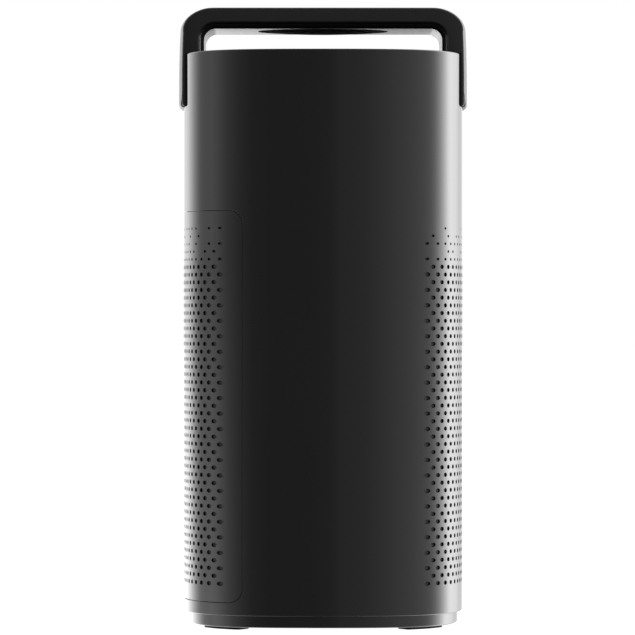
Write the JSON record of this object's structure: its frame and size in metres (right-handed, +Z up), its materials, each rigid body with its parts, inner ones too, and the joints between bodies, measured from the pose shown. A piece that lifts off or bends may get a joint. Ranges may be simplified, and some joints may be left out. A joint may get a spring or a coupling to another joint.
{
  "type": "air purifier",
  "caption": "Tall rounded-square tower air purifier with perforated sides, a lift-off filter door and a wide fixed band handle over a top outlet.",
  "frame": {"origin": "on the ground, under the middle of the tower", "axes": "+Z up, the plain front faces -Y, the filter door is on the -X side"},
  "size_m": [0.2484, 0.24, 0.5285],
  "materials": {
    "shell": "fine moulded texture, satin",
    "inner_plastic": "plain moulded",
    "foot_rubber": "matt",
    "screw_steel": "zinc plated",
    "bright_steel": "ground",
    "grille": "satin",
    "gasket": "foam",
    "motor_can": "satin",
    "mount_metal": "zinc plated sheet",
    "panel_gloss": "polished",
    "light_pipe": "translucent",
    "circuit_board": "solder mask",
    "component": "moulded",
    "brass_pin": "plated",
    "handle_plastic": "satin",
    "handle_liner": "semi-gloss",
    "grip_rubber": "soft touch",
    "impeller_plastic": "semi-gloss",
    "filter_cap": "moulded",
    "filter_paper": "pleated",
    "carbon": "granular",
    "prefilter_mesh": "fine mesh",
    "pull_tab": "woven",
    "button": "satin"
  },
  "bodies": {
    "housing": {"main_housing": "shell", "base_tray": "shell", "foot_pad_1": "foot_rubber", "foot_pad_2": "foot_rubber", "foot_pad_3": "foot_rubber", "foot_pad_4": "foot_rubber", "base_screw_1": "screw_steel", "base_screw_2": "screw_steel", "base_screw_3": "screw_steel", "base_screw_4": "screw_steel", "door_post_front": "inner_plastic", "door_post_back": "inner_plastic", "door_magnet_front": "bright_steel", "door_magnet_back": "bright_steel", "filter_seat": "inner_plastic", "partition": "inner_plastic", "filter_gasket": "gasket", "inlet_ring": "inner_plastic", "fan_duct": "inner_plastic", "fan_motor": "motor_can", "motor_mount": "mount_metal", "motor_screw_1": "screw_steel", "motor_screw_2": "screw_steel", "motor_screw_3": "screw_steel", "top_deck": "shell", "outlet_grille": "grille", "control_panel": "panel_gloss", "status_light": "light_pipe", "control_board": "circuit_board", "tact_switch": "component", "main_board": "circuit_board", "board_capacitor_1": "component", "board_capacitor_2": "component", "particle_sensor": "motor_can", "door_switch": "component", "power_inlet": "component", "inlet_pin_1": "brass_pin", "inlet_pin_2": "brass_pin", "handle_band": "handle_plastic", "handle_liner": "handle_liner", "grip_pad": "grip_rubber", "handle_screw_1": "screw_steel", "handle_screw_2": "screw_steel", "handle_screw_3": "screw_steel", "handle_screw_4": "screw_steel"},
    "fan": {"fan_impeller": "impeller_plastic", "impeller_nut": "bright_steel", "motor_shaft": "bright_steel"},
    "door": {"door_panel": "shell", "door_frame": "inner_plastic"},
    "filter": {"filter_bottom_cap": "filter_cap", "filter_media": "filter_paper", "carbon_core": "carbon", "filter_top_cap": "filter_cap", "prefilter_sleeve": "prefilter_mesh", "filter_pull_tab": "pull_tab"},
    "button": {"power_button": "button"}
  },
  "joints": [
    {"name": "fan_spin", "type": "hinge", "parent": "housing", "child": "fan", "pos_m": [0, 0, 0.4], "axis": [0, 0, 1], "continuous": true},
    {"name": "door_off", "type": "slide", "parent": "housing", "child": "door", "axis": [-1, 0, 0], "range_m": [0, 0.45]},
    {"name": "filter_out", "type": "slide", "parent": "housing", "child": "filter", "axis": [-1, 0, 0], "range_m": [0, 0.27]},
    {"name": "power_press", "type": "slide", "parent": "housing", "child": "button", "axis": [0, 0, -1], "range_m": [0, 0.0012], "stiffness_N_per_m": 800}
  ],
  "couplings": [
    {"joint": "filter_out", "follows": "door_off", "ratio": 0.6}
  ]
}
